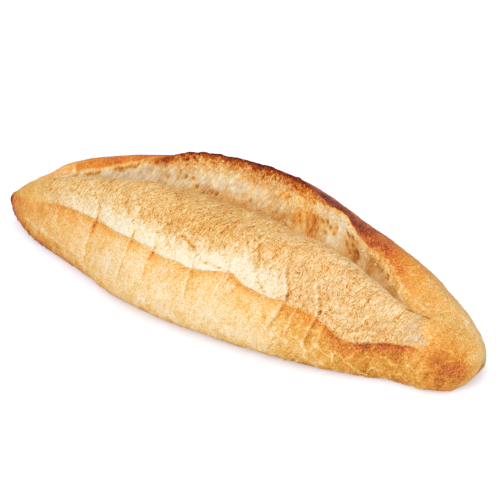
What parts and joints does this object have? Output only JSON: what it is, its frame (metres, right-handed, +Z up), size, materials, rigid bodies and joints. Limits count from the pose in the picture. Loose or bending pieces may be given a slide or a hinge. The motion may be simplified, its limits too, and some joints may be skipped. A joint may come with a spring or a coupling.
{
  "type": "white bread loaf",
  "caption": "Long white bread loaf with tapered ends and a flat base, slashed along the top so that a pale bloom swells out in front of a dark ear.",
  "frame": {"origin": "middle of the flat base, under the middle of the loaf's box", "axes": "+X along the loaf towards its blunt end, +Z up from the base, the bloom faces -Y"},
  "size_m": [0.32, 0.1142, 0.074],
  "materials": {
    "crust": "baked white bread: satin golden crust, matte cream bloom and crumb, browned along the ear and the base"
  },
  "bodies": {
    "root": {"loaf": "crust"}
  },
  "joints": []
}
